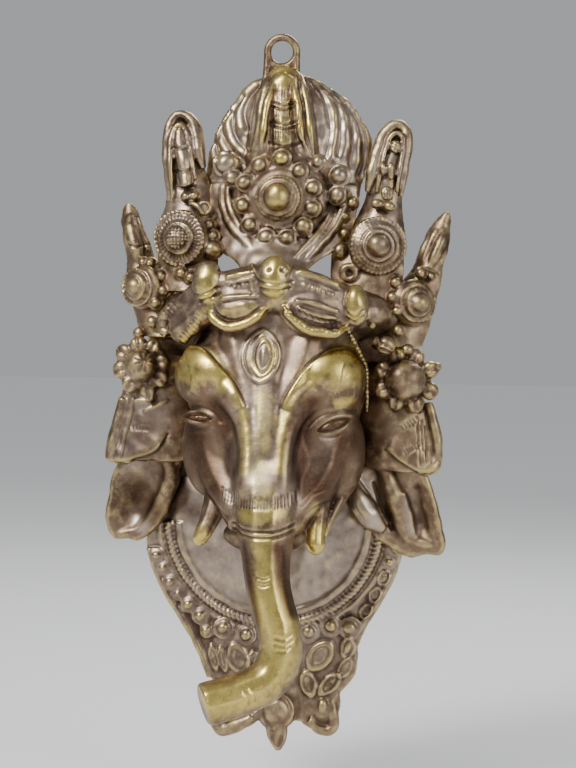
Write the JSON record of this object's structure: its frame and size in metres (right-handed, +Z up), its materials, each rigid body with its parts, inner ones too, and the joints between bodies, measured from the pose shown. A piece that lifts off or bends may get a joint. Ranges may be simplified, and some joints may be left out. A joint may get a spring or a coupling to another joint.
{
  "type": "ganesha wall plaque",
  "caption": "Cast brass elephant-headed deity mask with crown, ears, curling trunk and carved collar, hung on a wall by a loop.",
  "frame": {"origin": "middle of the hanging loop's hole, on the plane of the wall", "axes": "+Z up, +X to the viewer's right, +Y into the wall; the plaque stands out towards -Y"},
  "size_m": [0.2405, 0.1297, 0.5037],
  "materials": {
    "patinated_brass": "aged brown patina, rubbed to yellow on brows, trunk and beads"
  },
  "bodies": {
    "root": {"ganesha_plaque": "patinated_brass"}
  },
  "joints": []
}
